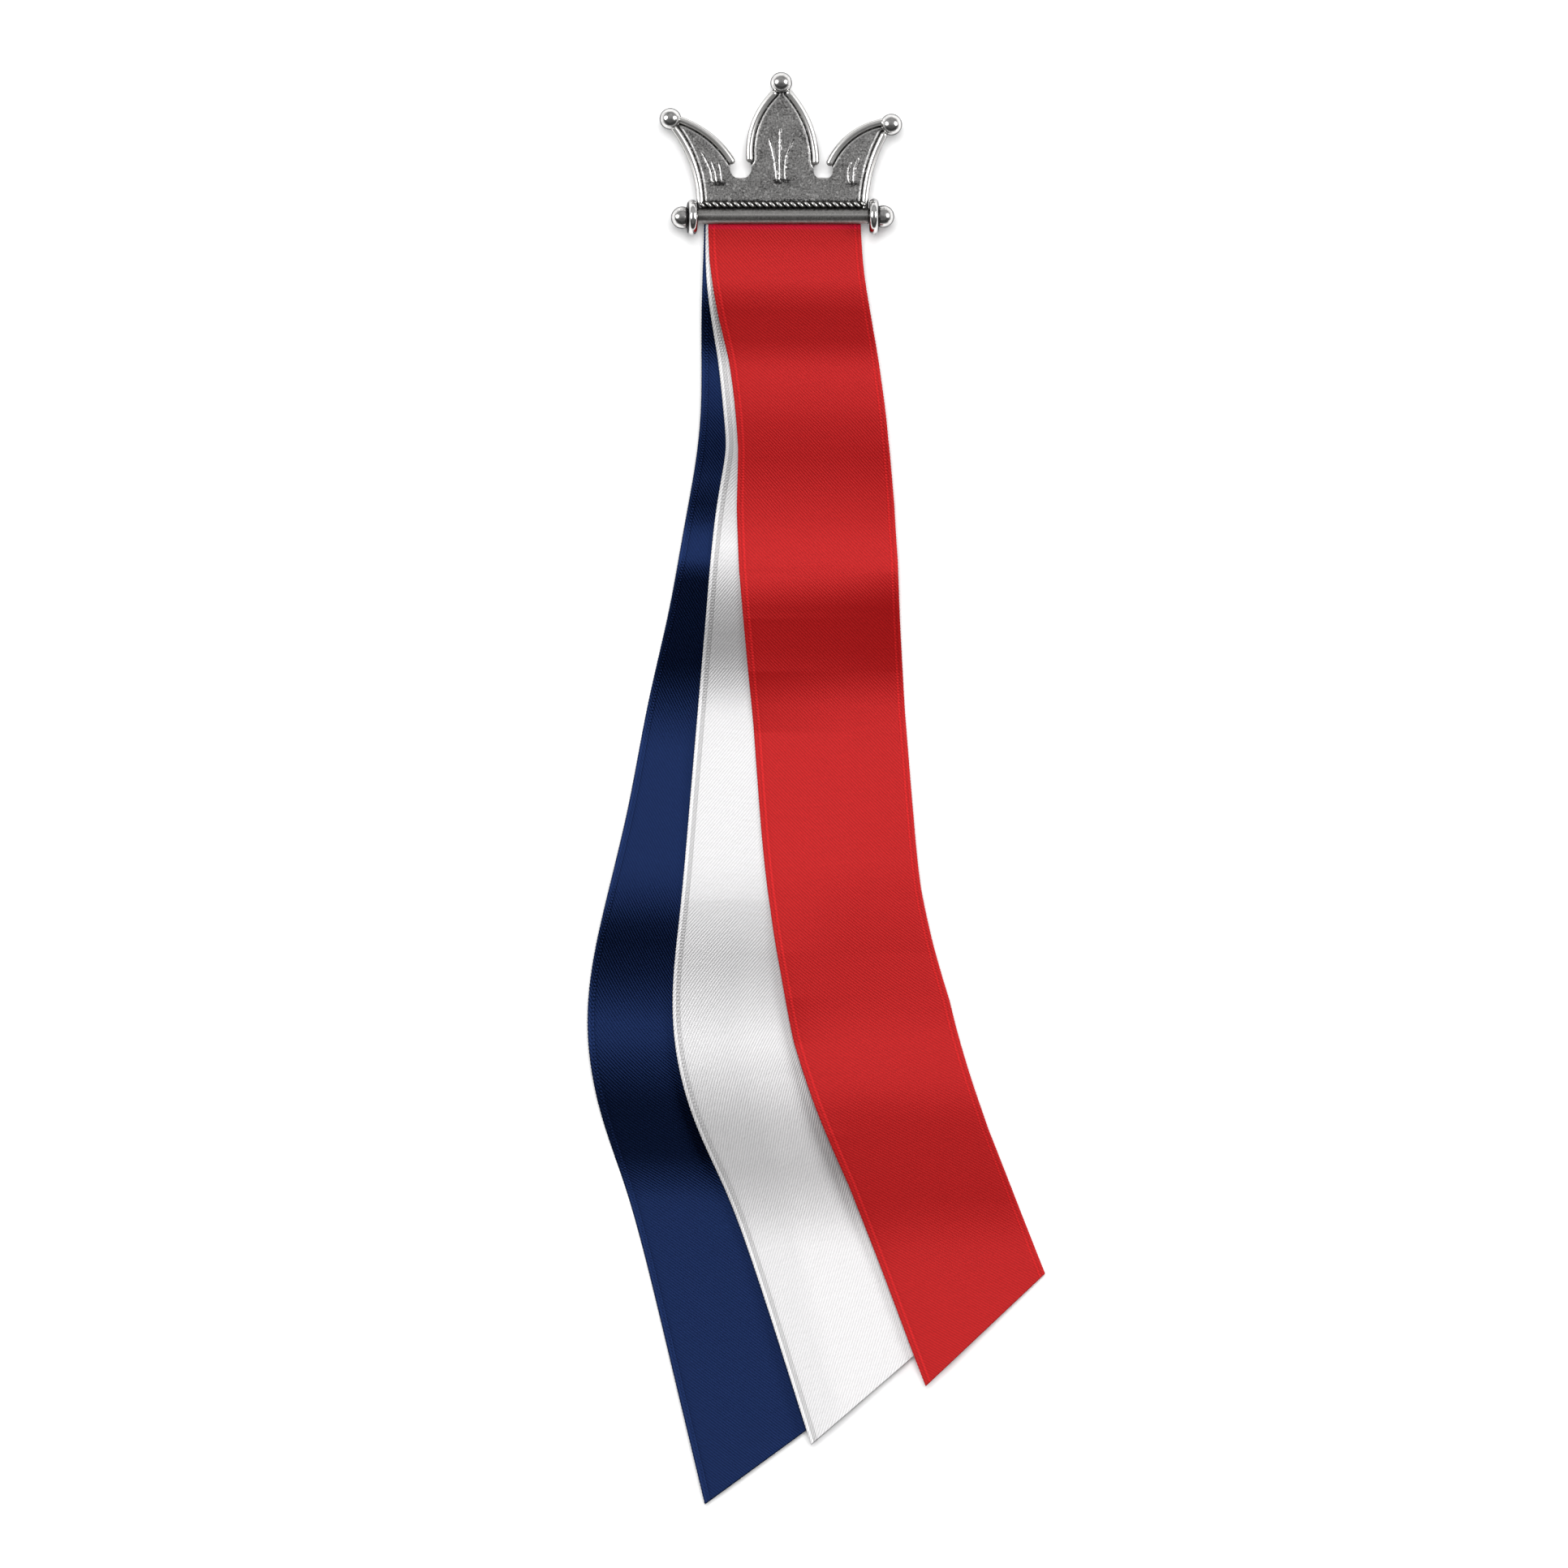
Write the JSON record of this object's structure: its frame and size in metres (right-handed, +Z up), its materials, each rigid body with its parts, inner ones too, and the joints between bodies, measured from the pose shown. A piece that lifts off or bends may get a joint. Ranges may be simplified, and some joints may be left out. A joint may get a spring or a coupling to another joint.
{
  "type": "ribbon cockade brooch",
  "caption": "Lapel brooch: a silver crown with ball tips over a round tube, with red, white and navy satin ribbons fanned out from behind it, slanted ends and a pin on the back.",
  "frame": {"origin": "middle of the whole brooch's bounding box, on the table that it lies on", "axes": "+Y from the ribbon ends up to the crown, +X to the viewer's right, +Z up from the table towards the viewer"},
  "size_m": [0.0602, 0.1886, 0.0067],
  "materials": {
    "antique_silver": "darkened silver with polished rims and balls",
    "polished_silver": "polished silver",
    "pin_wire": "plain silver wire",
    "red_satin": "satin",
    "white_satin": "satin",
    "blue_satin": "satin"
  },
  "bodies": {
    "root": {"crown": "antique_silver", "ring_left": "polished_silver", "ring_right": "polished_silver", "brooch_pin": "pin_wire", "ribbon_red": "red_satin", "ribbon_white": "white_satin", "ribbon_blue": "blue_satin"}
  },
  "joints": []
}
